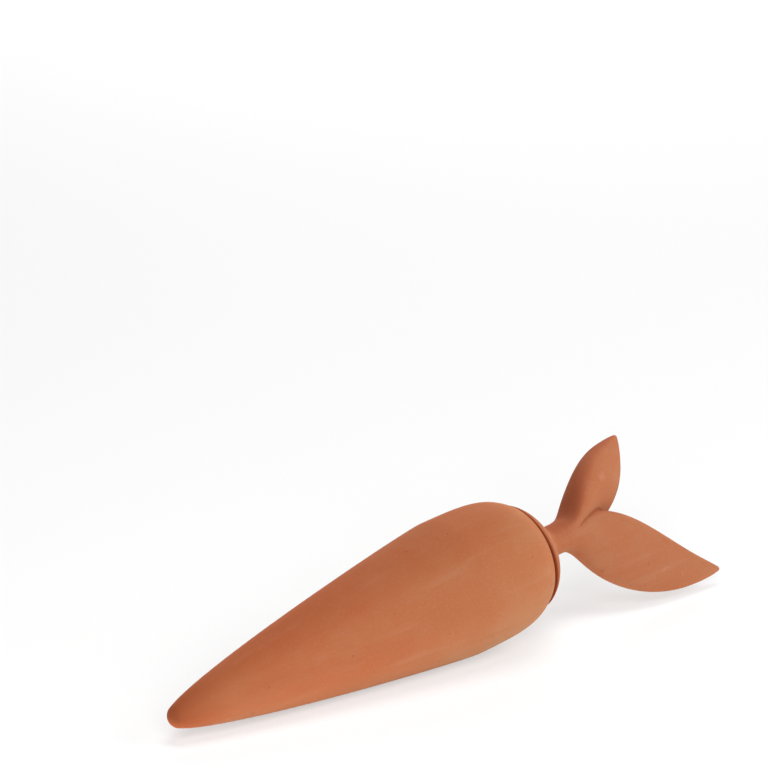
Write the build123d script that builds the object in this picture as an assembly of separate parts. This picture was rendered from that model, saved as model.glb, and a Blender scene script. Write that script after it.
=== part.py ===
from build123d import *
import os
from math import cos, radians, sin

# Self watering spike: a hollow, porous clay carrot that is filled with water and pushed into the soil,
# and a clay stopper with two leaves that closes its mouth.
# Both pieces are drawn upright, tip down on the Z axis, and then laid on their side on the plane z = 0.
# Lengths are millimetres and angles are degrees.

# Outer shape of the body, from the tip up
body_height = 163.2
tip_radius = 4.2
tip_half_angle = 22.5
tip_handle = 22.7
belly_radius = 25.0
belly_height = 131.0
belly_handle = 6.7
shoulder_handle = 22.0
rim_radius = 20.0
rim_half_angle = 32.5
rim_handle = 8.0
rim_round = 0.6

# Inside of the body
wall = 4.5
inner_tip_radius = 2.4
mouth_radius = 13.0
mouth_round = 0.8
neck_depth = 9.0
ceiling_handle = 9.0

# Stopper: dome, stem and the hollow plug that drops into the mouth
dome_height = 17.0
dome_rim_handle = 8.5
dome_half_angle = 18.5
dome_stem_handle = 6.4
stem_radius = 5.65
stem_height = 22.0
core_height = 37.0
core_handle = 8.0
plug_length = 9.0
plug_clearance = 0.4
plug_wall = 3.2
plug_round = 0.8
hollow_rise = 5.0

# Leaves: the turn of the pair about the axis, how far along a leaf the stem still thickens it,
# and the power of the way left to the tip that thins it
leaf_turn = -30.0
leaf_root = 0.35
root_thickness = 10.2
leaf_thinning = 0.45

# Long leaf: control points of its spine as (reach, set back, height over the rim), then its blade
long_spine = [(0, 0, 22.2), (2.2, 0.2, 39.9), (24.3, 2.0, 52.7), (35.7, 7.6, 93.2)]
long_half_width = 13.35
long_widest = 0.501
long_taper = 0.965
long_thickness = 10.4
long_roll = 5.6
long_twist = -4.7
long_swell = 0.16

# Short leaf
short_spine = [(0, 0, 22.2), (-6.2, -0.4, 38.2), (-12.1, 0.8, 53.3), (-25.0, 8.2, 74.5)]
short_half_width = 10.1
short_widest = 0.566
short_taper = 0.932
short_thickness = 13.0
short_roll = 9.0
short_twist = -15.0
short_swell = 0.46

# Places along a leaf that get a section, and the points of one section
leaf_stations = (0.04, 0.1, 0.18, 0.28, 0.4, 0.52, 0.64, 0.76, 0.86, 0.93, 0.975)
section_points = 16

# Rise of the axis from the tip to the leaves when the spike lies on its flank
lying_pitch = 7.0


def at(radius, height):
    """Point of a turned outline, in the X-Z plane."""
    return Vector(radius, 0, height)


def handle(angle, length):
    """Vector of a given length that leans away from the axis by an angle, going up."""
    return at(sin(radians(angle)), cos(radians(angle))) * length


def turned(*edges):
    """Solid of revolution about the Z axis from a closed outline in the X-Z plane."""
    return revolve(make_face(edges), Axis.Z)


def nose(radius, centre_height):
    """Round end of the body's wall, from the axis to where the flank leaves it, and that end point."""
    sweep = 90 - tip_half_angle
    bottom, middle, end = (
        at(0, centre_height) + at(sin(radians(turn)), -cos(radians(turn))) * radius
        for turn in (0, sweep / 2, sweep)
    )
    return ThreePointArc(bottom, middle, end), bottom, end


def reservoir_body():
    """Hollow body: the carrot's outer curve, and an inner curve one wall further in."""
    tip_arc, tip, flank_start = nose(tip_radius, tip_radius)
    flank_lead = flank_start + handle(tip_half_angle, tip_handle)
    belly = at(belly_radius, belly_height)
    rim = at(rim_radius, body_height)
    flank = Bezier(flank_start, flank_lead, belly - at(0, belly_handle), belly)
    shoulder = Bezier(belly, belly + at(0, shoulder_handle), rim - handle(-rim_half_angle, rim_handle), rim)

    # The inner nose touches the line one wall inside the tip's cone
    inner_rise = (inner_tip_radius + wall - tip_radius) / sin(radians(tip_half_angle))
    inner_arc, inner_tip, inner_start = nose(inner_tip_radius, tip_radius + inner_rise)
    inner_lead = flank_lead - handle(tip_half_angle + 90, wall)
    inner_belly = belly - at(wall, 0)
    inner_flank = Bezier(inner_start, inner_lead, inner_belly - at(0, belly_handle), inner_belly)

    mouth = at(mouth_radius, body_height)
    neck = mouth - at(0, neck_depth)
    ceiling = Bezier(
        inner_belly, inner_belly + at(0, ceiling_handle), neck + at(ceiling_handle / 2, 0), neck
    )
    body = turned(
        tip_arc, flank, shoulder, Line(rim, mouth), Line(mouth, neck),
        ceiling, inner_flank, inner_arc, Line(inner_tip, tip),
    )
    rim_edge = body.edges().group_by(Axis.Z)[-1].sort_by(SortBy.RADIUS)[-1]
    body = fillet(rim_edge, rim_round)
    mouth_edge = body.edges().filter_by(GeomType.CIRCLE).group_by(Axis.Z)[-1].sort_by(SortBy.RADIUS)[0]
    return fillet(mouth_edge, mouth_round)


def turned_stopper():
    """Dome, stem and hollow plug, with the stem closed by a core that fades out inside the leaves."""
    plug_radius = mouth_radius - plug_clearance
    bore_radius = plug_radius - plug_wall
    rim = at(rim_radius, body_height)
    dome_top = at(stem_radius, body_height + dome_height)
    stem_top = at(stem_radius, body_height + stem_height)
    core_top = at(0, body_height + core_height)
    dome = Bezier(
        rim, rim + handle(-dome_half_angle, dome_rim_handle), dome_top - at(0, dome_stem_handle), dome_top
    )
    core = Bezier(stem_top, stem_top + at(0, core_handle), core_top + at(stem_radius / 2, 0), core_top)
    seat = at(plug_radius, body_height)
    plug_drop = at(0, plug_length)
    bore_top = at(bore_radius, body_height)
    crown = at(0, body_height + hollow_rise)
    hollow = Bezier(bore_top, bore_top + at(0, hollow_rise), crown + at(bore_radius / 2, 0), crown)
    stopper = turned(
        Line(seat, rim), dome, Line(dome_top, stem_top), core, Line(core_top, crown), hollow,
        Line(bore_top, bore_top - plug_drop), Line(bore_top - plug_drop, seat - plug_drop),
        Line(seat - plug_drop, seat),
    )
    plug_edge = stopper.edges().filter_by(GeomType.CIRCLE).group_by(Axis.Z)[0].sort_by(SortBy.RADIUS)[-1]
    stopper = fillet(plug_edge, plug_round)
    rim_edge = stopper.edges().filter_by(GeomType.CIRCLE).sort_by(SortBy.RADIUS)[-1]
    return fillet(rim_edge, rim_round)


def section(breadth, depth, swell):
    """Face of a leaf's section: an oval whose swell makes one edge full and the other one thin."""
    turns = [radians(360 * place / section_points) for place in range(section_points)]
    points = [(breadth * cos(turn), depth * sin(turn) * (1 - swell * cos(turn))) for turn in turns]
    return make_face(Spline(points, periodic=True))


def leaf(spine, half_width, widest, taper, thickness, roll, twist, swell):
    """Leaf blade: ovals square to a curved spine, pointed at both ends and round where the stem holds it."""
    start, lead, follow, tip = (Vector(*point) for point in spine)
    root_taper = taper * widest / (1 - widest)
    sections = [Vertex(*start)]
    for u in leaf_stations:
        v = 1 - u
        point = start * v**3 + lead * (3 * u * v**2) + follow * (3 * u**2 * v) + tip * u**3
        direction = (lead - start) * v**2 + (follow - lead) * (2 * u * v) + (tip - follow) * u**2
        breadth = half_width * (u / widest) ** root_taper * (v / (1 - widest)) ** taper
        root = max(0, 1 - u / leaf_root) ** 2 * (1 + 2 * u / leaf_root)
        depth = (root_thickness * root + thickness * v**leaf_thinning * (1 - root)) / 2
        turn = roll + twist * (u - 0.5)
        across = Vector(0, 1, 0).cross(direction).rotate(Axis((0, 0, 0), direction), turn)
        sections.append(Plane(point, across, direction) * section(breadth, depth, swell * (1 - root)))
    sections.append(Vertex(*tip))
    return loft(sections)


def leaf_stopper():
    """Stopper cast in one piece with its two leaves."""
    long_leaf = leaf(
        long_spine, long_half_width, long_widest, long_taper,
        long_thickness, long_roll, long_twist, long_swell,
    )
    short_leaf = leaf(
        short_spine, short_half_width, short_widest, short_taper,
        short_thickness, short_roll, short_twist, short_swell,
    )
    on_rim = Pos(0, 0, body_height) * Rot(0, 0, leaf_turn)
    return turned_stopper() + on_rim * long_leaf + on_rim * short_leaf


pieces = {"reservoir_body": reservoir_body(), "leaf_stopper": leaf_stopper()}

# Lay both pieces on the flank, centred over the origin, with the lowest point on the plane
lying = {name: Rot(0, 90 - lying_pitch, 0) * piece for name, piece in pieces.items()}
box = Compound(children=[Compound(piece.solids()) for piece in lying.values()]).bounding_box()
place = Pos(-box.center().X, -box.center().Y, -box.min.Z)

os.makedirs("parts", exist_ok=True)
for name, piece in lying.items():
    export_step(place * piece, f"parts/{name}.step")
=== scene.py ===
import logging
import math
from dataclasses import dataclass
from enum import Enum
from typing import Sequence

import bpy
import numpy as np
from mathutils import Matrix, Vector


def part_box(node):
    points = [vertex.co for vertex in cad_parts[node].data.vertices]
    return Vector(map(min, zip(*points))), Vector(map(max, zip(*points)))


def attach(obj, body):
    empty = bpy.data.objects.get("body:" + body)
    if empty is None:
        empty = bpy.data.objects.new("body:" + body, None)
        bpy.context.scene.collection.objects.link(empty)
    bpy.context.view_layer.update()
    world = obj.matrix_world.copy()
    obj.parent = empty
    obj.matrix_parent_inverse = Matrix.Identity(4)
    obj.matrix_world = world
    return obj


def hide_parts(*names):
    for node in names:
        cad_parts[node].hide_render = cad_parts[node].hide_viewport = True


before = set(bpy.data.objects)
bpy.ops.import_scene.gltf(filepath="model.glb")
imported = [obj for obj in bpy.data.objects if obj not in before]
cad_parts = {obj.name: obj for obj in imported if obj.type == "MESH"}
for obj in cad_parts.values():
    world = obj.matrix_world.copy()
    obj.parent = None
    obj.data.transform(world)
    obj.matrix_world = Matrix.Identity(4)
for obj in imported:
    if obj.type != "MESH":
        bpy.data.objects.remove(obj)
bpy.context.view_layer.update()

log = logging.getLogger("watering_spike")

Point = tuple[float, float, float]
Colour = tuple[float, float, float]
Span = tuple[float, ...]
Array = np.ndarray
Mesh = bpy.types.Mesh
Material = bpy.types.Material
Object = bpy.types.Object
Socket = bpy.types.NodeSocket

MM = 0.001
TAU = 2.0 * math.pi
TINY = 1e-9
WHITE = (1.0, 1.0, 1.0, 1.0)

# Play in millimetres when points are sorted by where they lie
SLACK = 0.1

# Rise of the axis from the tip to the leaves when the spike lies on its flank, in degrees
PITCH = 7.0

# Radius of the stem that the leaves grow out of, in millimetres
STEM_RADIUS = 5.65

# Way that normals of the lying spike face where painted shade darkens and reddens the clay; normals facing
# away get a paler painted sheen
PAINTED_SHADE_SIDE = np.array([-0.5, 0.0, 0.866])

# Sockets of Blender's Mix node for colours: the share, the two colours and the result
MIX_SHARE, MIX_ONE, MIX_OTHER, MIX_RESULT = 0, 6, 7, 2


class Part(Enum):
    """The two castings, by the CAD node that each one stands for."""

    BODY = "reservoir_body"
    STOPPER = "leaf_stopper"


class Mark(Enum):
    """Marks that the meshes carry for the clay, each from 0 to 1 on every point."""

    INSIDE = "inside"
    # Painted shadow at the rim's edge, where lid and body meet
    SEAM = "seam_shadow"
    WORN = "worn"
    # How far a point faces the side that is painted darker as shade, from 0 to 1
    SHADE_FACING = "shade_facing"
    # Painted shade in hollows, as between the leaves
    CREASE = "crease_shade"


class Mix(Enum):
    """Ways to blend a colour with another one."""

    TOWARDS = "MIX"
    TIMES = "MULTIPLY"


# Tone in a material: how far it shows, its colour, and how it blends with what lies under it
Layer = tuple[Socket, Colour, Mix]


class Maths(Enum):
    """Operations on two numbers in a material."""

    PLUS = "ADD"
    MINUS = "SUBTRACT"
    TIMES = "MULTIPLY"
    LARGER = "MAXIMUM"


def cubic(controls: Sequence[Sequence[float]], t: Array) -> Array:
    """Points of a cubic curve at shares t of its run.

    With v = 1 - t, a point is the sum of the four controls weighted by v^3, 3 t v^2, 3 t^2 v and t^3.

    Args:
        controls: The four control points, each with any number of coordinates.
        t: Shares from 0 to 1, as a column.

    Returns:
        The points, one per row.
    """
    v = 1.0 - t
    a, b, c, d = (np.asarray(point, float) for point in controls)
    return a * v**3 + b * (3 * t * v**2) + c * (3 * t**2 * v) + d * t**3


def bezier(controls: Sequence[Sequence[float]], steps: int) -> Array:
    """Points of a cubic curve at evenly spaced shares from 0 to 1."""
    return cubic(controls, np.linspace(0.0, 1.0, steps)[:, None])


def lean(angle: float, length: float) -> Array:
    """Step in (radius, height) that goes up and leans away from the axis by an angle in degrees."""
    return length * np.array([math.sin(math.radians(angle)), math.cos(math.radians(angle))])


def run(start: Sequence[float], end: Sequence[float], steps: int) -> Array:
    """Evenly spaced points of a straight run from start to end."""
    return np.linspace(np.asarray(start, float), np.asarray(end, float), steps)


def chain(*stretches: Array) -> Array:
    """Joins stretches that end where the next one starts, and drops each doubled point."""
    return np.vstack([stretches[0], *(stretch[1:] for stretch in stretches[1:])])


def soften(line: Array, corner: Sequence[float], reach: float, steps: int = 9) -> Array:
    """Rounds one corner of an outline.

    The outline within reach of the corner is left out, and a quadratic curve with the corner as its middle
    control joins the two ends.

    Args:
        line: Outline as rows of (radius, height).
        corner: The corner's place, which is a point of the outline.
        reach: Length taken off each side of the corner.
        steps: Points on the rounding.

    Returns:
        The outline with the corner rounded.
    """
    length = np.r_[0.0, np.cumsum(np.linalg.norm(np.diff(line, axis=0), axis=1))]
    middle = length[np.linalg.norm(line - np.asarray(corner), axis=1).argmin()]
    ends = [[np.interp(middle + side, length, line[:, k]) for k in (0, 1)] for side in (-reach, reach)]
    t = np.linspace(0.0, 1.0, steps)[:, None]
    first, last = (np.asarray(end) for end in ends)
    curve = first * (1 - t) ** 2 + np.asarray(corner) * (2 * t * (1 - t)) + last * t**2
    return np.vstack([line[length < middle - reach], curve, line[length > middle + reach]])


@dataclass
class Skin:
    """Closed surface: points, and faces as rows of point numbers."""

    points: Array
    quads: Array
    triangles: Array

    @classmethod
    def of_grid(cls, rows: Array) -> "Skin":
        """Skin over a grid whose rows close round and whose first and last rows shrink to a point.

        Args:
            rows: Points as (row, place in the row, coordinate).

        Returns:
            The skin, with one point at each end and its faces pointing outwards.
        """
        inner = rows[1:-1]
        count, width = inner.shape[:2]
        points = np.vstack([rows[0, :1], inner.reshape(-1, 3), rows[-1, :1]])
        here = 1 + np.arange(count * width).reshape(count, width)
        following = np.roll(here, -1, axis=1)
        quads = np.stack([here[:-1], following[:-1], following[1:], here[1:]], -1).reshape(-1, 4)
        first = np.stack([np.zeros(width, int), following[0], here[0]], -1)
        last = np.stack([np.full(width, count * width + 1), here[-1], following[-1]], -1)
        skin = cls(points, quads, np.vstack([first, last]))
        return skin if skin.volume() > 0 else cls(points, quads[:, ::-1], skin.triangles[:, ::-1])

    def volume(self) -> float:
        """Volume inside, as the sum of the signed pyramids from the origin to each triangle.

        Returns:
            The volume, below 0 where the faces point inwards.
        """
        cut = np.vstack([self.quads[:, [0, 1, 2]], self.quads[:, [0, 2, 3]], self.triangles])
        a, b, c = (self.points[column] for column in cut.T)
        return float((a * np.cross(b, c)).sum() / 6.0)

    def mesh(self, name: str) -> Mesh:
        """Blender mesh of the skin, shaded smooth.

        Args:
            name: The mesh's name.

        Returns:
            The mesh, in metres from points in millimetres.
        """
        mesh = bpy.data.meshes.new(name)
        mesh.from_pydata((self.points * MM).tolist(), [], self.quads.tolist() + self.triangles.tolist())
        mesh.shade_smooth()
        return mesh


def join(skins: Sequence[Skin]) -> Skin:
    """Puts several skins into one, each still closed by itself.

    Args:
        skins: The skins.

    Returns:
        One skin with the points and faces of all of them.
    """
    offsets = np.cumsum([0] + [len(skin.points) for skin in skins[:-1]])
    return Skin(
        np.vstack([skin.points for skin in skins]),
        np.vstack([skin.quads + offset for skin, offset in zip(skins, offsets)]),
        np.vstack([skin.triangles + offset for skin, offset in zip(skins, offsets)]),
    )


def turn(outline: Array, around: int) -> Array:
    """Grid of a turned surface: each (r, h) of an outline goes to (r cos a, r sin a, h) for every turn a.

    Args:
        outline: Rows of (radius, height).
        around: Points round the axis.

    Returns:
        Points as (row, place in the row, coordinate).
    """
    angle = np.arange(around) * TAU / around
    radius, height = outline[:, 0, None], outline[:, 1, None]
    return np.stack([radius * np.cos(angle), radius * np.sin(angle), height + 0 * angle], -1)


def read(items: bpy.types.bpy_prop_collection, name: str, width: int, kind: type = float) -> Array:
    """One property of a mesh's points or edges.

    Args:
        items: The points or edges.
        name: The property.
        width: Numbers in each row.
        kind: Type of the numbers.

    Returns:
        One row for each.
    """
    flat = np.empty(len(items) * width, kind)
    items.foreach_get(name, flat)
    return flat.reshape(-1, width)


def read_points(mesh: Mesh) -> Array:
    """A mesh's points as rows, in millimetres."""
    return read(mesh.vertices, "co", 3) / MM


def read_normals(mesh: Mesh) -> Array:
    """A mesh's point normals as rows."""
    return read(mesh.vertices, "normal", 3)


def read_edges(mesh: Mesh) -> Array:
    """A mesh's edges as pairs of point numbers."""
    return read(mesh.edges, "vertices", 2, int)


def write_points(mesh: Mesh, points: Array) -> None:
    """Puts points in millimetres back into a mesh."""
    mesh.vertices.foreach_set("co", (points * MM).ravel())
    mesh.update()


def mark(mesh: Mesh, name: Mark, values: Array) -> None:
    """Stores one value from 0 to 1 on each point of a mesh."""
    layer = mesh.attributes.new(name.value, "FLOAT", "POINT")
    layer.data.foreach_set("value", np.clip(values, 0.0, 1.0).astype(np.float32))


def fade(values: Array, low: float, high: float) -> Array:
    """Smooth step from 0 at low to 1 at high."""
    t = np.clip((values - low) / (high - low), 0.0, 1.0)
    return t * t * (3.0 - 2.0 * t)


def beside(values: Array, edges: Array) -> Array:
    """Mean of the neighbours' values at each point of a mesh.

    Args:
        values: One row per point.
        edges: Pairs of point numbers.

    Returns:
        The means, in rows as the values are.
    """
    ends = np.concatenate([edges, edges[:, ::-1]])
    total = [np.bincount(ends[:, 0], column[ends[:, 1]], len(values)) for column in values.T]
    return np.stack(total, -1) / np.bincount(ends[:, 0], minlength=len(values))[:, None]


def relax(points: Array, edges: Array, weight: Array, moves: Sequence[float]) -> Array:
    """Smooths a mesh by moving points towards the mean of their neighbours.

    Args:
        points: The mesh's points.
        edges: Pairs of point numbers.
        weight: Share of each move that a point takes.
        moves: One share of the way for each round. A negative one pushes back out what the round before
            pulled in, so that thin places keep their size.

    Returns:
        The moved points.
    """
    for move in moves:
        points = points + (beside(points, edges) - points) * (move * weight[:, None])
    return points


def settle(points: Array, outline: Array, weight: Array, block: int = 4000) -> Array:
    """Draws points of a turned piece onto its exact outline.

    A point goes to (radius, height), the nearest place on the outline's runs is found there, and the point
    moves to it in its own half plane.

    Args:
        points: Points about the Z axis.
        outline: Outline as rows of (radius, height).
        weight: Share of the way that each point goes.
        block: About how many points are worked on at a time.

    Returns:
        The moved points.
    """
    radius = np.hypot(points[:, 0], points[:, 1])
    flat = np.stack([radius, points[:, 2]], -1)
    start, step = outline[:-1], np.diff(outline, axis=0)
    best = np.empty_like(flat)
    for part in np.array_split(np.arange(len(flat)), max(1, len(flat) // block)):
        away = flat[part, None] - start
        share = np.clip((away * step).sum(-1) / (step**2).sum(-1), 0.0, 1.0)
        place = start + share[..., None] * step
        near = ((flat[part, None] - place) ** 2).sum(-1).argmin(1)
        best[part] = place[np.arange(len(part)), near]
    target = points.copy()
    target[:, :2] *= (best[:, 0] / np.maximum(radius, TINY))[:, None]
    target[:, 2] = best[:, 1]
    return points + (target - points) * weight[:, None]


@dataclass
class ReservoirBody:
    """The carrot: an outer curve, a rim, a mouth and an inner curve one wall further in.

    Lengths are millimetres, angles are degrees, and steps count the outline's points. Each of the waves is
    (waves to the turn, height for a drift of one radian, phase). The unevenness starts over the heights
    uneven_from and ends over the depths uneven_to. The painted shadow at the rim's edge fades over seam_fade
    from it.
    """

    height: float = 163.2
    tip_radius: float = 4.2
    tip_angle: float = 22.5
    tip_handle: float = 22.7
    belly_radius: float = 25.0
    belly_height: float = 131.0
    belly_handle: float = 6.7
    shoulder_handle: float = 22.0
    rim_radius: float = 20.0
    rim_angle: float = 32.5
    rim_handle: float = 8.0
    rim_round: float = 0.6
    wall: float = 4.5
    inner_tip_radius: float = 2.4
    mouth_radius: float = 13.0
    mouth_round: float = 0.8
    neck_depth: float = 9.0
    neck_round: float = 1.2
    ceiling_handle: float = 9.0
    wobble: float = 0.16
    waves: tuple[Span, ...] = ((2, 31.0, 0.7), (3, -47.0, 2.1))
    uneven_from: Span = (4.0, 30.0)
    uneven_to: Span = (12.0, 1.0)
    seam_fade: Span = (0.35, 1.0)
    around: int = 224
    nose_steps: int = 12
    flank_steps: int = 110
    shoulder_steps: int = 44
    rim_steps: int = 6
    neck_steps: int = 8
    ceiling_steps: int = 24
    inner_flank_steps: int = 46
    inner_nose_steps: int = 8

    def nose(self, radius: float, centre: float, steps: int) -> Array:
        """Round end of the wall: an arc about a point on the axis, from the axis to the flank."""
        angle = np.radians(np.linspace(0.0, 90.0 - self.tip_angle, steps))
        return np.stack([radius * np.sin(angle), centre - radius * np.cos(angle)], -1)

    def outside(self) -> Array:
        """Outline from the tip over the belly to the rim: an arc and two cubic curves.

        Returns:
            Rows of (radius, height).
        """
        nose = self.nose(self.tip_radius, self.tip_radius, self.nose_steps)
        belly = np.array([self.belly_radius, self.belly_height])
        rim = np.array([self.rim_radius, self.height])
        lead = nose[-1] + lean(self.tip_angle, self.tip_handle)
        flank = bezier([nose[-1], lead, belly - [0, self.belly_handle], belly], self.flank_steps)
        rim_lead = rim - lean(-self.rim_angle, self.rim_handle)
        shoulder = bezier([belly, belly + [0, self.shoulder_handle], rim_lead, rim], self.shoulder_steps)
        return chain(nose, flank, shoulder)

    def inside(self) -> Array:
        """Outline from the mouth's edge down the neck and the inner wall to the inner tip.

        The inner tip is an arc that touches the line one wall inside the tip's cone.

        Returns:
            Rows of (radius, height).
        """
        rise = self.inner_tip_radius + self.wall - self.tip_radius
        centre = self.tip_radius + rise / math.sin(math.radians(self.tip_angle))
        nose = self.nose(self.inner_tip_radius, centre, self.inner_nose_steps)
        flank_start = self.nose(self.tip_radius, self.tip_radius, self.nose_steps)[-1]
        outer_lead = flank_start + lean(self.tip_angle, self.tip_handle)
        lead = outer_lead - lean(self.tip_angle + 90.0, self.wall)
        belly = np.array([self.belly_radius - self.wall, self.belly_height])
        mouth = np.array([self.mouth_radius, self.height])
        neck = mouth - [0, self.neck_depth]
        flank = bezier([nose[-1], lead, belly - [0, self.belly_handle], belly], self.inner_flank_steps)
        neck_lead = neck + [self.ceiling_handle / 2, 0]
        ceiling = bezier([belly, belly + [0, self.ceiling_handle], neck_lead, neck], self.ceiling_steps)
        line = chain(run(mouth, neck, self.neck_steps), ceiling[::-1], flank[::-1], nose[::-1])
        return soften(line, neck, self.neck_round)

    def unevenness(self, line: Array, angle: Array) -> Array:
        """How much of the radius the hand that smoothed the casting took off.

        The cut is wobble times the mean of raised sine waves round the axis, whose phase drifts along the
        height. It fades out at the tip and at the rim.

        Args:
            line: Outline as rows of (radius, height).
            angle: Turn about the axis of each point of the grid.

        Returns:
            The cut at each point of the grid.
        """
        height, count = line[:, 1], len(self.waves)
        sines = (np.sin(n * angle + height[:, None] / drift + phase) for n, drift, phase in self.waves)
        low, high = (self.height - depth for depth in self.uneven_to)
        held = fade(height, *self.uneven_from) * (1.0 - fade(height, low, high))
        return self.wobble * sum(sines, float(count)) / (2 * count) * held[:, None]

    def spread(self, values: Array) -> Array:
        """One value per row of the outline, repeated on the points that the skin has there."""
        return np.r_[values[:1], np.repeat(values[1:-1], self.around), values[-1:]]

    def skin(self) -> tuple[Skin, Array, Array]:
        """Surface of revolution of the whole outline, with the radius cut a little unevenly outside.

        Returns:
            The skin, and for each of its points the mark INSIDE and the mark of painted shadow at the rim's
            edge.
        """
        rim = [self.rim_radius, self.height]
        mouth = [self.mouth_radius, self.height]
        line = chain(self.outside(), run(rim, mouth, self.rim_steps), self.inside())
        line = soften(soften(line, rim, self.rim_round), mouth, self.mouth_round)
        rows = turn(line, self.around)
        past_rim = np.arange(len(line)) > np.abs(line - rim).sum(1).argmin()
        angle = np.arctan2(rows[..., 1], rows[..., 0])
        cut = self.unevenness(line, angle) * ~past_rim[:, None]
        rows[..., :2] *= (1.0 - cut / np.maximum(line[:, 0, None], TINY))[..., None]
        in_mouth = line[:, 0] < self.mouth_radius + SLACK
        under_neck = line[:, 1] < self.height - self.neck_depth + self.neck_round
        inside = (past_rim & (in_mouth | under_neck)).astype(float)
        # Painted shadow at the rim's edge, darkest there and fading off it
        seam_shadow = 1.0 - fade(np.linalg.norm(line - rim, axis=1), *self.seam_fade)
        return Skin.of_grid(rows), self.spread(inside), self.spread(seam_shadow)

    def lay(self) -> Matrix:
        """Lays the upright spike, tip at the origin and axis on Z, down to PITCH.

        The flank then touches the floor, and the nose touches the CAD box's end.

        Returns:
            The turn about Y and the tip's move into place.
        """
        pitch = math.radians(PITCH)
        line = self.outside()
        sink = (line[:, 1] * math.sin(pitch) - line[:, 0] * math.cos(pitch)).min()
        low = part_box(Part.BODY.value)[0]
        tip = Vector((low.x / MM + self.tip_radius * (1 - math.cos(pitch)), 0.0, -sink))
        return Matrix.Translation(tip * MM) @ Matrix.Rotation(math.radians(90.0 - PITCH), 4, "Y")

    def build(self) -> Mesh:
        """Makes the body.

        Returns:
            Its upright mesh, with its marks.
        """
        skin, inside, seam_shadow = self.skin()
        mesh = skin.mesh("clay_body")
        mark(mesh, Mark.INSIDE, inside)
        mark(mesh, Mark.SEAM, seam_shadow)
        return mesh


@dataclass(frozen=True)
class Leaf:
    """One leaf: a curved spine of (reach, set back, height over the rim) and ovals square to it.

    Places along the leaf are shares of the spine, from 0 at the stem to 1 at the tip. The stem thickens the
    leaf up to root, the tip is widened by blunt over blunt_over, and the ends close over root_cap and
    tip_cap. The tuck is a step that starts over tuck_from, ends over tuck_to and grows over tuck_across.
    """

    spine: tuple[Point, Point, Point, Point]
    half_width: float
    widest: float
    taper: float
    thickness: float
    roll: float
    twist: float
    swell: float
    thinning: float = 0.45
    root: float = 0.35
    root_cap: Span = (0.0, 0.02)
    blunt: float = 0.008
    blunt_over: Span = (0.85, 1.0)
    tip_cap: float = 0.01
    tuck: Point = (0.0, 0.0, 0.0)
    tuck_from: Span = (0.05, 0.24)
    tuck_to: Span = (0.45, 0.75)
    tuck_across: Span = (-0.3, 0.8)
    along: int = 120
    around: int = 72

    def held(self, u: Array) -> Array:
        """How far the stem holds the leaf: 1 at its root, and smoothly down to 0 where the root ends."""
        near = np.maximum(0.0, 1.0 - u / self.root)
        return near**2 * (1.0 + 2.0 * u / self.root)

    def ovals(self, u: Array) -> tuple[Array, Array, Array]:
        """Where each oval stands, and how it is turned.

        An oval stands on the spine's cubic curve and square to it. It is turned about the curve by roll, and
        by twist more from one end to the other.

        Args:
            u: Shares of the spine, as a column.

        Returns:
            Centres, and directions across and through the leaf, one row of each per share.
        """
        v = 1.0 - u
        a, b, c, d = (np.asarray(point, float) for point in self.spine)
        ahead = (b - a) * v**2 + (c - b) * (2 * u * v) + (d - c) * u**2
        ahead /= np.linalg.norm(ahead, axis=1, keepdims=True)
        level = np.cross([0.0, 1.0, 0.0], ahead)
        level /= np.linalg.norm(level, axis=1, keepdims=True)
        turned = np.radians(self.roll + self.twist * (u - 0.5))
        across = level * np.cos(turned) + np.cross(ahead, level) * np.sin(turned)
        return cubic(self.spine, u), across, np.cross(ahead, across)

    def halves(self, u: Array) -> tuple[Array, Array]:
        """Half width and half thickness of each oval.

        With v = 1 - u, the half width is a product of powers of u and v that is largest at the widest place,
        and the thickness thins with a power of v. Over the root both start from the stem's radius. At the tip
        v is lengthened a little for the width, and both end in a half ellipse, so the tip is round.

        Args:
            u: Shares of the spine, as a column.

        Returns:
            Both halves, one row of each per share.
        """
        v = 1.0 - u
        held = self.held(u)
        power = self.taper * self.widest / (1.0 - self.widest)
        left = v + self.blunt * fade(u, *self.blunt_over)
        width = self.half_width * (u / self.widest) ** power * (left / (1.0 - self.widest)) ** self.taper
        depth = STEM_RADIUS * held + self.thickness / 2.0 * v**self.thinning * (1.0 - held)
        round_tip = np.sqrt(1.0 - np.maximum(0.0, 1.0 - v / self.tip_cap) ** 2)
        cap = np.sqrt(fade(u, *self.root_cap)) * round_tip
        return np.hypot(width, STEM_RADIUS * held**2) * cap, depth * cap

    def grid(self) -> Array:
        """Grid of the leaf's surface.

        At angle w a point of an oval lies at cos w across the leaf and at sin w (1 - swell cos w) through it,
        so a swell makes one edge full and round and the other one thin. The tuck moves the lower part of the
        edge with cos w > 0, so that it goes behind the other leaf.

        Returns:
            Points as (row, place in the row, coordinate).
        """
        u = (0.5 - 0.5 * np.cos(np.linspace(0.0, math.pi, self.along)))[:, None]
        w = np.arange(self.around) * TAU / self.around
        centre, across, through = self.ovals(u)
        width, depth = self.halves(u)
        face = np.sin(w) * (1.0 - self.swell * (1.0 - self.held(u)) * np.cos(w))
        offset = (width * np.cos(w))[..., None] * across[:, None]
        offset += (depth * face)[..., None] * through[:, None]
        behind = fade(u, *self.tuck_from) * (1.0 - fade(u, *self.tuck_to))
        behind = behind * fade(np.cos(w), *self.tuck_across)
        return centre[:, None] + offset + behind[..., None] * np.asarray(self.tuck)


# The long leaf is wide, nearly flat and gently bent
LONG_LEAF = Leaf(
    spine=((0, 0, 22.2), (2.2, 0.2, 39.9), (24.3, 2.0, 52.7), (35.7, 7.6, 93.2)),
    half_width=13.35, widest=0.501, taper=0.965, thickness=10.4, roll=5.6, twist=-4.7, swell=0.16,
)

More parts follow.
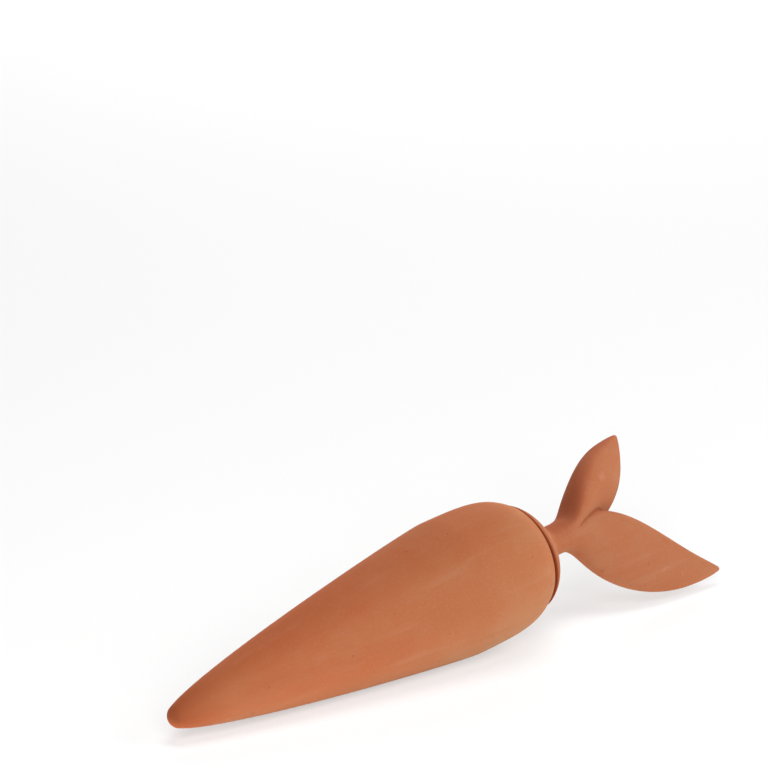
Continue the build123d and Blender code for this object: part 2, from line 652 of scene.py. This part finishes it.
# The short leaf is thick, with a full round outer edge and a thinner inner one
SHORT_LEAF = Leaf(
    spine=((0, 0, 22.2), (-6.2, -0.4, 38.2), (-12.1, 0.8, 53.3), (-24.7, 8.1, 74.2)),
    half_width=10.1, widest=0.566, taper=0.932, thickness=13.0, roll=9.0, twist=-15.0, swell=0.46,
    tuck=(1.3, 2.4, 0.0),
)


@dataclass(frozen=True)
class Scuff:
    """Pale worn spot on a leaf: its place and its half sizes in the leaves' own frame."""

    place: Point
    size: Point


@dataclass
class LeafStopper:
    """The stopper: a dome, a stem and a hollow plug, turned about the axis, with two leaves on the stem.

    Lengths are millimetres, heights count from the rim, and angles are degrees. The rim stands out by bulge
    towards bulge_turn, over the ranges that follow it. The roots are smoothed by root_pulls over the ranges
    that follow them, and the turned part ends over turned_to. The marks fade over distances from the rim's
    edge, shares of a scuff and depths of a hollow.
    """

    body: ReservoirBody
    rim_radius: float = 19.9
    rim_round: float = 1.1
    dome_height: float = 17.0
    dome_handle: float = 8.5
    dome_angle: float = 18.5
    stem_handle: float = 6.4
    stem_height: float = 22.0
    core_height: float = 37.0
    core_handle: float = 8.0
    plug_clearance: float = 0.4
    plug_length: float = 9.0
    plug_wall: float = 3.2
    plug_round: float = 0.8
    bore_round: float = 0.5
    hollow_rise: float = 5.0
    leaf_turn: float = -30.0
    leaves: tuple[Leaf, ...] = (LONG_LEAF, SHORT_LEAF)
    scuffs: tuple[Scuff, ...] = (
        Scuff((-13.5, -3.1, 50.5), (2.6, 3.0, 3.4)),
        Scuff((26.8, 1.2, 63.1), (1.0, 3.0, 3.4)),
        Scuff((31.0, 2.8, 71.7), (1.6, 3.0, 1.4)),
    )
    bulge: float = 0.9
    bulge_turn: float = -65.0
    bulge_sides: Span = (-0.2, 0.9)
    bulge_radii: Span = (8.0, 16.0)
    bulge_heights: Span = (14.0, 19.0)
    voxel: float = 0.372
    smoothing: Span = (0.6, -0.63)
    smoothing_rounds: int = 10
    root_pulls: Span = (0.5,) * 6
    root_from: Span = (17.0, 23.0)
    root_to: Span = (26.0, 33.0)
    root_radii: Span = (9.0, 15.0)
    turned_to: Span = (15.0, 19.0)
    seam_fade: Span = (0.9, 1.9)
    seam_shade: float = 0.4
    seam_shade_fade: Span = (1.0, 4.5)
    worn_fade: Span = (0.3, 1.0)
    crease_fade: Span = (0.004, 0.014)
    crease_rounds: int = 4
    around: int = 192
    dome_steps: int = 40
    core_steps: int = 30
    hollow_steps: int = 24
    stem_steps: int = 10
    plug_steps: int = 12
    foot_steps: int = 6

    def plug_radius(self) -> float:
        """Radius of the plug, which has its clearance all round in the body's mouth."""
        return self.body.mouth_radius - self.plug_clearance

    def outline(self) -> Array:
        """Closed outline: core, stem, dome, rim, plug and hollow, as cubic curves and straight runs.

        Returns:
            Rows of (radius, height).
        """
        rim = np.array([self.rim_radius, 0.0])
        dome_top = np.array([STEM_RADIUS, self.dome_height])
        stem_top = np.array([STEM_RADIUS, self.stem_height])
        crown = np.array([0.0, self.core_height])
        roof = np.array([0.0, self.hollow_rise])
        seat = np.array([self.plug_radius(), 0.0])
        foot = seat - [0, self.plug_length]
        bore_top = seat - [self.plug_wall, 0]
        bore_foot = foot - [self.plug_wall, 0]
        core_lead = crown + [STEM_RADIUS / 2, 0]
        core = bezier([stem_top, stem_top + [0, self.core_handle], core_lead, crown], self.core_steps)
        dome_lead = rim + lean(-self.dome_angle, self.dome_handle)
        dome = bezier([rim, dome_lead, dome_top - [0, self.stem_handle], dome_top], self.dome_steps)
        roof_lead = roof + [bore_top[0] / 2, 0]
        hollow = bezier([bore_top, bore_top + [0, self.hollow_rise], roof_lead, roof], self.hollow_steps)
        stem = run(stem_top, dome_top, self.stem_steps)
        plug = chain(run(rim, seat, self.plug_steps), run(seat, foot, self.plug_steps))
        bore = chain(run(foot, bore_foot, self.foot_steps), run(bore_foot, bore_top, self.plug_steps))
        line = chain(core[::-1], stem, dome[::-1], plug, bore, hollow)
        line = soften(line, rim, self.rim_round)
        return soften(soften(line, foot, self.plug_round), bore_foot, self.bore_round)

    def spin(self) -> Array:
        """Matrix that turns the leaves' own frame about the axis into the stopper's."""
        sin, cos = lean(self.leaf_turn, 1.0)
        return np.array([[cos, -sin, 0], [sin, cos, 0], [0, 0, 1]])

    def skin(self) -> Skin:
        """The turned stopper and both leaves, each closed, standing over one another in the stem."""
        turned = Skin.of_grid(turn(self.outline(), self.around))
        return join([turned, *(Skin.of_grid(leaf.grid() @ self.spin().T) for leaf in self.leaves)])

    def wrap(self) -> Mesh:
        """One skin round the turned stopper and both leaves, from Blender's voxel remesh.

        Returns:
            The mesh, still with the voxels' small steps.
        """
        rough = bpy.data.objects.new("stopper_rough", self.skin().mesh("stopper_rough"))
        bpy.context.scene.collection.objects.link(rough)
        remesh = rough.modifiers.new("one_skin", "REMESH")
        remesh.mode = "VOXEL"
        remesh.voxel_size = self.voxel * MM
        remesh.adaptivity = 0.0
        remesh.use_smooth_shade = True
        mesh = bpy.data.meshes.new_from_object(rough.evaluated_get(bpy.context.evaluated_depsgraph_get()))
        source = rough.data
        bpy.data.objects.remove(rough)
        bpy.data.meshes.remove(source)
        mesh.name = "clay_stopper"
        return mesh

    def cast(self) -> Mesh:
        """The stopper in one smooth skin, with the leaves' roots run softly into the stem.

        The steps are smoothed out by rounds that pull in and push back out, the roots get more rounds that
        only pull, and the turned part is drawn onto its outline.

        Returns:
            The mesh, with its rim at height 0.
        """
        mesh = self.wrap()
        points, edges = read_points(mesh), read_edges(mesh)
        points = relax(points, edges, np.ones(len(points)), self.smoothing * self.smoothing_rounds)
        radius, height = np.hypot(points[:, 0], points[:, 1]), points[:, 2]
        root = fade(height, *self.root_from) * (1.0 - fade(height, *self.root_to))
        root = root * (1.0 - fade(radius, *self.root_radii))
        points = relax(points, edges, root, self.root_pulls)
        points = settle(points, self.outline(), 1.0 - fade(points[:, 2], *self.turned_to))
        write_points(mesh, points)
        return mesh

    def out_of_round(self, points: Array) -> Array:
        """Step of each point where the dome isn't quite round.

        The rim moves out by bulge on one side, which fades out towards the other side, the plug and the stem.

        Args:
            points: The points, with the rim at height 0.

        Returns:
            One step per point.
        """
        angle = math.radians(self.bulge_turn)
        way = np.array([math.cos(angle), math.sin(angle), 0.0])
        radius = np.hypot(points[:, 0], points[:, 1])
        side = points @ way / np.maximum(radius, TINY)
        share = fade(side, *self.bulge_sides) * fade(radius, *self.bulge_radii)
        share = share * (1.0 - fade(points[:, 2], *self.bulge_heights))
        return self.bulge * share[:, None] * way

    def worn(self, points: Array) -> Array:
        """Mark WORN: 1 in the middle of a scuff, fading out at its edge.

        Args:
            points: The points, with the rim at height 0.

        Returns:
            One value per point.
        """
        own = points @ self.spin()
        away = [np.linalg.norm((own - scuff.place) / scuff.size, axis=1) for scuff in self.scuffs]
        return 1.0 - fade(np.min(away, axis=0), *self.worn_fade)

    def crease_shade(self, mesh: Mesh, points: Array) -> Array:
        """Mark for painted shade: where the mesh is hollow, as between the leaves.

        A point's depth is how far its neighbours' mean lies outside it along its normal, and a few rounds of
        means even it out.

        Args:
            mesh: The smooth mesh.
            points: Its points.

        Returns:
            One value per point.
        """
        edges = read_edges(mesh)
        depth = ((beside(points, edges) - points) * read_normals(mesh)).sum(1, keepdims=True)
        for _ in range(self.crease_rounds):
            depth = beside(depth, edges)
        return fade(depth[:, 0], *self.crease_fade)

    def build(self) -> Mesh:
        """Makes the stopper.

        Returns:
            Its upright mesh, with its marks.
        """
        mesh = self.cast()
        points = read_points(mesh)
        radius, height = np.hypot(points[:, 0], points[:, 1]), points[:, 2]
        in_plug = radius < self.plug_radius() + SLACK
        under = in_plug & (height < self.hollow_rise + SLACK)
        from_edge = np.hypot(radius - self.rim_radius, height)
        # Painted shadow at the rim's edge: a dark line there, and a softer painted shade further up the dome
        shade = self.seam_shade * (1.0 - fade(from_edge, *self.seam_shade_fade))
        mark(mesh, Mark.INSIDE, under.astype(float))
        mark(mesh, Mark.SEAM, np.maximum(1.0 - fade(from_edge, *self.seam_fade), shade))
        mark(mesh, Mark.WORN, self.worn(points))
        # Painted shade where the mesh is hollow, as between the leaves
        mark(mesh, Mark.CREASE, self.crease_shade(mesh, points))
        write_points(mesh, points + self.out_of_round(points) + [0.0, 0.0, self.body.height])
        return mesh


def finish_piece(mesh: Mesh, lay: Matrix, clay: Material, part: Part, body: str) -> Object:
    """Puts a casting into the scene in place of its CAD node.

    Args:
        mesh: Its upright mesh.
        lay: What lays the spike down.
        clay: The terracotta.
        part: The CAD node that it stands for.
        body: The CAD body that it moves with.

    Returns:
        The object, at the origin.
    """
    mesh.transform(lay)
    piece = bpy.data.objects.new(mesh.name, mesh)
    bpy.context.scene.collection.objects.link(piece)
    # How far each point faces the side painted darker as shade; the side facing away gets a paler painted
    # sheen
    mark(mesh, Mark.SHADE_FACING, 0.5 + 0.5 * read_normals(mesh) @ PAINTED_SHADE_SIDE)
    mesh.materials.clear()
    mesh.materials.append(clay)
    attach(piece, body)
    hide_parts(part.value)
    return piece


@dataclass
class Graph:
    """A material's nodes, with short ways to add the kinds that the scene uses."""

    tree: bpy.types.NodeTree

    def add(self, kind: str, settings: dict | None = None, **inputs: object) -> bpy.types.Node:
        """Adds a node, sets its own settings, and sets or links its inputs by name.

        Args:
            kind: Blender's node type.
            settings: Properties of the node.
            inputs: Input names, with _ for a space, and a socket to link or a value to set.

        Returns:
            The node.
        """
        node = self.tree.nodes.new(kind)
        for key, value in (settings or {}).items():
            setattr(node, key, value)
        for key, value in inputs.items():
            self.feed(node.inputs[key.replace("_", " ")], value)
        return node

    def feed(self, socket: Socket, value: object) -> None:
        """Links an input to another node, or sets its own value.

        Args:
            socket: The input.
            value: A socket to link it to, or its value.
        """
        if isinstance(value, Socket):
            self.tree.links.new(value, socket)
        else:
            socket.default_value = value

    def noise(self, where: Socket, scale: float, detail: float, rough: float) -> Socket:
        """Cloudy noise from 0 to 1 about 0.5."""
        node = self.add("ShaderNodeTexNoise", Vector=where, Scale=scale, Detail=detail, Roughness=rough)
        return node.outputs["Fac"]

    def span(self, value: Socket, low: float, high: float, top: float = 1.0) -> Socket:
        """Stretches a range into 0 to a top value, clamped and smooth.

        Args:
            value: What to stretch.
            low: Where the result is 0.
            high: Where the result is the top value. It may lie below low.
            top: The top value.

        Returns:
            The result.
        """
        smooth = {"interpolation_type": "SMOOTHSTEP"}
        node = self.add("ShaderNodeMapRange", smooth, Value=value, From_Min=low, From_Max=high, To_Max=top)
        return node.outputs["Result"]

    def blend(self, share: Socket, one: object, other: object, how: Mix = Mix.TOWARDS) -> Socket:
        """Blends a colour with another one.

        Args:
            share: How far, from 0 to 1.
            one: A colour, or a socket that gives one.
            other: The colour that it goes towards or is multiplied by.
            how: Which of the two.

        Returns:
            The blended colour.
        """
        node = self.add("ShaderNodeMix", {"data_type": "RGBA", "blend_type": how.value})
        for index, value in ((MIX_SHARE, share), (MIX_ONE, one), (MIX_OTHER, other)):
            self.feed(node.inputs[index], (*value, 1.0) if isinstance(value, tuple) else value)
        return node.outputs[MIX_RESULT]

    def maths(self, how: Maths, one: object, other: object) -> Socket:
        """One operation on two numbers.

        Args:
            how: The operation.
            one: A number, or a socket that gives one.
            other: The other one.

        Returns:
            The result.
        """
        node = self.add("ShaderNodeMath", {"operation": how.value})
        for socket, value in zip(node.inputs, (one, other)):
            self.feed(socket, value)
        return node.outputs[0]

    def place(self) -> Socket:
        """Places on the object."""
        return self.add("ShaderNodeTexCoord").outputs["Object"]

    def mark(self, name: Mark) -> Socket:
        """One of the mesh's marks."""
        return self.add("ShaderNodeAttribute", {"attribute_name": name.value}).outputs["Fac"]

    def seen(self) -> Socket:
        """Whether the view shows this, also mirrored or through glass, or it lights other things.

        Returns:
            1 in the view, and else 0.
        """
        path = self.add("ShaderNodeLightPath").outputs
        mirrored = self.maths(Maths.LARGER, path["Is Glossy Ray"], path["Is Transmission Ray"])
        return self.maths(Maths.LARGER, path["Is Camera Ray"], mirrored)


@dataclass(frozen=True)
class FiredClay:
    """Unglazed terracotta.

    Colours are linear light. Those for the redder tip half, the painted shade on the upper side, the painted
    sheen on the underside and the painted shade in hollows multiply the tone under them. A noise is (repeats
    per metre, detail, roughness). A span is (low, high) or (low, high, top value), in metres along the spike
    for tipward_span and for the painted shade at the tip's end.
    """

    name: str
    main: Colour
    warm: Colour
    pale: Colour
    tipward: Colour = (1.10, 0.90, 0.83)
    # Painted shade: the upper side made darker and redder
    painted_top_shade: Colour = (0.98, 0.85, 0.80)
    # Painted sheen: the underside made paler, as if lit from the table below
    painted_underside_sheen: Colour = (0.80, 1.03, 1.13)
    # Painted shade in hollows, as between the leaves
    crease_shade: Colour = (0.76, 0.63, 0.57)
    # Painted shade at the tip's end
    tip: Colour = (0.515, 0.131, 0.048)
    bare: Colour = (0.600, 0.240, 0.125)
    scuff: Colour = (0.640, 0.330, 0.210)
    # Painted shadow at the rim's edge, where lid and body meet
    seam_shadow: Colour = (0.280, 0.052, 0.014)
    speck: Colour = (0.300, 0.085, 0.035)
    patch_noise: Span = (24.0, 6.0, 0.62)
    streak_noise: Span = (210.0, 2.0, 0.5)
    grain_noise: Span = (1150.0, 2.0, 0.6)
    scratch_noise: Span = (1500.0, 4.0, 0.7)
    streak_squeeze: Point = (0.06, 1.0, 1.0)
    specks: float = 420.0
    main_span: Span = (0.36, 0.66)
    pale_streaks: Span = (0.54, 0.76, 0.4)
    warm_streaks: Span = (0.48, 0.26, 0.8)
    pale_grain: Span = (0.48, 0.74, 0.38)
    speck_size: Span = (0.26, 0.12)
    speck_share: Span = (0.95, 0.97, 0.4)
    tipward_span: Span = (0.02, -0.115)
    painted_top_shade_span: Span = (0.75, 0.97)
    painted_underside_sheen_span: Span = (0.5, 0.08)
    tip_shade_span: Span = (-0.108, -0.128, 0.8)
    scratch_span: Span = (0.42, 0.64, 0.45)
    roughness: float = 0.86
    patch_roughness: float = 0.12
    specular: float = 0.12
    grain_relief: float = 0.5
    streak_relief: float = 0.6
    bump: float = 0.25
    bump_depth: float = 0.00015

    def dots(self, graph: Graph) -> Socket:
        """Sparse specks: the middles of a few cells out of many.

        Args:
            graph: The material's nodes.

        Returns:
            How far each place is a speck.
        """
        cells = graph.add("ShaderNodeTexVoronoi", Vector=graph.place(), Scale=self.specks)
        chance = graph.add("ShaderNodeSeparateColor", Color=cells.outputs["Color"]).outputs["Red"]
        near = graph.span(cells.outputs["Distance"], *self.speck_size)
        return graph.maths(Maths.TIMES, near, graph.span(chance, *self.speck_share))

    def layers(self, graph: Graph, streaks: Socket, grain: Socket, dots: Socket) -> list[Layer]:
        """Tones over the patches, from the lowest up.

        Streaks, grain and specks come first. The clay grows redder towards the tip; painted shade darkens the
        upper side and the tip's end, and a painted sheen pales the underside. Over that lie painted shade in
        hollows, pale scuffs, bare clay inside and a painted shadow at the rim's edge.

        Args:
            graph: The material's nodes.
            streaks: Noise that is drawn out along the spike.
            grain: Fine noise.
            dots: How far each place is a speck.

        Returns:
            The layers.
        """
        along = graph.add("ShaderNodeSeparateXYZ", Vector=graph.place()).outputs["X"]
        # Which way each point faces, for the painted shade above and the painted sheen below
        side = graph.mark(Mark.SHADE_FACING)
        scratches = graph.span(graph.noise(graph.place(), *self.scratch_noise), *self.scratch_span)
        return [
            (graph.span(streaks, *self.pale_streaks), self.pale, Mix.TOWARDS),
            (graph.span(streaks, *self.warm_streaks), self.warm, Mix.TOWARDS),
            (graph.span(grain, *self.pale_grain), self.pale, Mix.TOWARDS),
            (dots, self.speck, Mix.TOWARDS),
            (graph.span(along, *self.tipward_span), self.tipward, Mix.TIMES),
            # Painted shade on the upper side
            (graph.span(side, *self.painted_top_shade_span), self.painted_top_shade, Mix.TIMES),
            # Painted sheen on the underside
            (graph.span(side, *self.painted_underside_sheen_span), self.painted_underside_sheen, Mix.TIMES),
            # Painted shade at the tip's end
            (graph.span(along, *self.tip_shade_span), self.tip, Mix.TOWARDS),
            # Painted shade in hollows
            (graph.mark(Mark.CREASE), self.crease_shade, Mix.TIMES),
            (graph.maths(Maths.TIMES, graph.mark(Mark.WORN), scratches), self.scuff, Mix.TOWARDS),
            (graph.mark(Mark.INSIDE), self.bare, Mix.TOWARDS),
            # Painted shadow at the rim's edge
            (graph.mark(Mark.SEAM), self.seam_shadow, Mix.TOWARDS),
        ]

    def material(self) -> Material:
        """Builds the clay.

        Soft patches shift the tone, and the layers go over them. Streaks, grain and specks also give a slight
        relief, and the patches change the roughness a little.

        Returns:
            The material.
        """
        material = bpy.data.materials.new(self.name)
        material.use_nodes = True
        graph = Graph(material.node_tree)
        shader = graph.tree.nodes["Principled BSDF"]
        place = graph.place()
        level = graph.add("ShaderNodeMapping", Vector=place, Rotation=(0.0, math.radians(PITCH), 0.0))
        drawn_out = graph.add("ShaderNodeMapping", Vector=level.outputs["Vector"], Scale=self.streak_squeeze)
        patches = graph.noise(place, *self.patch_noise)
        streaks = graph.noise(drawn_out.outputs["Vector"], *self.streak_noise)
        grain = graph.noise(place, *self.grain_noise)
        dots = self.dots(graph)

        tone = graph.blend(graph.span(patches, *self.main_span), self.warm, self.main)
        for share, colour, how in self.layers(graph, streaks, grain, dots):
            tone = graph.blend(share, tone, colour, how)
        graph.feed(shader.inputs["Base Color"], tone)

        uneven = graph.maths(Maths.TIMES, patches, self.patch_roughness)
        graph.feed(shader.inputs["Roughness"], graph.maths(Maths.PLUS, uneven, self.roughness))
        shader.inputs["Specular IOR Level"].default_value = self.specular

        fine = graph.maths(Maths.TIMES, grain, self.grain_relief)
        drawn = graph.maths(Maths.TIMES, streaks, self.streak_relief)
        relief = graph.maths(Maths.MINUS, graph.maths(Maths.PLUS, fine, drawn), dots)
        bump = graph.add("ShaderNodeBump", Height=relief, Strength=self.bump, Distance=self.bump_depth)
        graph.feed(shader.inputs["Normal"], bump.outputs["Normal"])
        return material


# The body's clay is the warmer and brighter one of the two
BODY_CLAY = FiredClay(
    "body_clay", main=(0.548, 0.217, 0.099), warm=(0.538, 0.183, 0.076), pale=(0.574, 0.257, 0.132),
)

# The stopper's clay has a duller, browner tone, and darker painted shade on its upper side
STOPPER_CLAY = FiredClay(
    "stopper_clay", main=(0.508, 0.190, 0.089), warm=(0.499, 0.159, 0.068), pale=(0.534, 0.228, 0.120),
    painted_top_shade=(0.88, 0.73, 0.74),
)


@dataclass(frozen=True)
class Lamp:
    """A square soft light that faces the spike: its turn round it and its rise, its side and its power."""

    name: str
    azimuth: float
    elevation: float
    power: float
    side: float = 0.9
    distance: float = 1.5
    table_only: bool = False


def toward(azimuth: float, elevation: float) -> Vector:
    """Way from the object to a viewer who looks along +Y at azimuth 0 and along -X at 90."""
    a, e = math.radians(azimuth), math.radians(elevation)
    return Vector((math.sin(a) * math.cos(e), -math.cos(a) * math.cos(e), math.sin(e)))


@dataclass
class Studio:
    """Pale floor, soft lamps, a white sky that only the view shows, and the camera.

    Lengths are metres, angles are degrees, and the lens and the sensor are millimetres. The camera sees the
    floor in the tone floor_seen, and floor_lift brings that up to white.
    """

    lamps: tuple[Lamp, ...] = (
        Lamp("right_lamp", 46.0, 26.0, 10.5),
        Lamp("back_lamp", 136.0, 26.0, 10.2),
        Lamp("top_lamp", 0.0, 84.0, 13.3),
        Lamp("table_lamp", -44.0, 26.0, 28.5, table_only=True),
    )
    floor_side: float = 8.0
    floor_tone: float = 0.94
    floor_seen: float = 0.38
    floor_lift: float = 0.50
    camera_place: Point = (-1.010949, -1.015157, 0.516128)
    camera_azimuth: float = -43.9456
    camera_elevation: float = 16.2183
    camera_roll: float = 0.5102
    lens: float = 202.956
    sensor: float = 36.0
    view_end: float = 50.0
    centre: Point = (0.0, 0.0, 0.025)

    def paper(self) -> Material:
        """White paper for the floor, in a tone for the camera that the lit table shows as white.

        Returns:
            The material.
        """
        material = bpy.data.materials.new("floor_paper")
        material.use_nodes = True
        graph = Graph(material.node_tree)
        shader = graph.tree.nodes["Principled BSDF"]
        camera = graph.add("ShaderNodeLightPath").outputs["Is Camera Ray"]
        tone = graph.blend(camera, (self.floor_tone,) * 3, (self.floor_seen,) * 3)
        lift = graph.maths(Maths.TIMES, graph.seen(), self.floor_lift)
        graph.feed(shader.inputs["Base Color"], tone)
        graph.feed(shader.inputs["Emission Strength"], lift)
        shader.inputs["Emission Color"].default_value = WHITE
        shader.inputs["Roughness"].default_value = 1.0
        shader.inputs["Specular IOR Level"].default_value = 0.0
        return material

    def floor(self) -> Object:
        """Flat square floor.

        Returns:
            The floor, which is the table's top.
        """
        half = self.floor_side / 2
        corners = [(-half, -half, 0), (half, -half, 0), (half, half, 0), (-half, half, 0)]
        mesh = bpy.data.meshes.new("floor")
        mesh.from_pydata(corners, [], [(0, 1, 2, 3)])
        mesh.materials.append(self.paper())
        floor = bpy.data.objects.new("floor", mesh)
        bpy.context.scene.collection.objects.link(floor)
        return floor

    def sky(self) -> None:
        """White sky for the view, which lights nothing."""
        world = bpy.data.worlds.new("studio_sky")
        bpy.context.scene.world = world
        world.use_nodes = True
        graph = Graph(world.node_tree)
        background = graph.tree.nodes["Background"]
        graph.feed(background.inputs["Strength"], graph.seen())
        background.inputs["Color"].default_value = WHITE

    def light(self, floor: Object) -> None:
        """The soft lamps on the spike, and one lamp that only brightens the table.

        Args:
            floor: The table's top.
        """
        table = bpy.data.collections.new("table")
        table.objects.link(floor)
        for lamp in self.lamps:
            light = bpy.data.lights.new(lamp.name, "AREA")
            light.size = lamp.side
            light.energy = lamp.power
            holder = bpy.data.objects.new(lamp.name, light)
            away = toward(lamp.azimuth, lamp.elevation)
            holder.location = Vector(self.centre) + away * lamp.distance
            holder.rotation_mode = "QUATERNION"
            holder.rotation_quaternion = away.to_track_quat("Z", "Y")
            holder.visible_camera = False
            if lamp.table_only:
                holder.light_linking.receiver_collection = table
            bpy.context.scene.collection.objects.link(holder)

    def camera(self) -> None:
        """Camera at the photograph's place and angle."""
        data = bpy.data.cameras.new("camera")
        data.lens = self.lens
        data.sensor_width = self.sensor
        data.clip_end = self.view_end
        holder = bpy.data.objects.new("camera", data)
        back = toward(self.camera_azimuth, self.camera_elevation)
        right = Vector((0.0, 0.0, 1.0)).cross(back).normalized()
        up = back.cross(right)
        roll = math.radians(self.camera_roll)
        side = right * math.cos(roll) + up * math.sin(roll)
        top = up * math.cos(roll) - right * math.sin(roll)
        turned = Matrix((side, top, back)).transposed().to_4x4()
        holder.matrix_world = Matrix.Translation(self.camera_place) @ turned
        bpy.context.scene.collection.objects.link(holder)
        bpy.context.scene.camera = holder

    def build(self) -> None:
        """Sets up sky, floor, lamps and camera, and a view that shows colours as they are."""
        self.sky()
        self.light(self.floor())
        self.camera()
        bpy.context.scene.view_settings.view_transform = "Standard"


def write_size() -> None:
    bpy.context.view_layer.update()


def main() -> None:
    """Builds the spike and its studio, and reports each piece."""
    logging.basicConfig(level=logging.INFO, format="%(message)s")
    body = ReservoirBody()
    stopper = LeafStopper(body)
    lay = body.lay()
    pieces = [
        finish_piece(body.build(), lay, BODY_CLAY.material(), Part.BODY, "reservoir"),
        finish_piece(stopper.build(), lay, STOPPER_CLAY.material(), Part.STOPPER, "stopper"),
    ]
    for piece in pieces:
        log.info("%s: %d points, %d faces", piece.name, len(piece.data.vertices), len(piece.data.polygons))
    Studio().build()
    write_size()


if __name__ == "__main__":
    main()
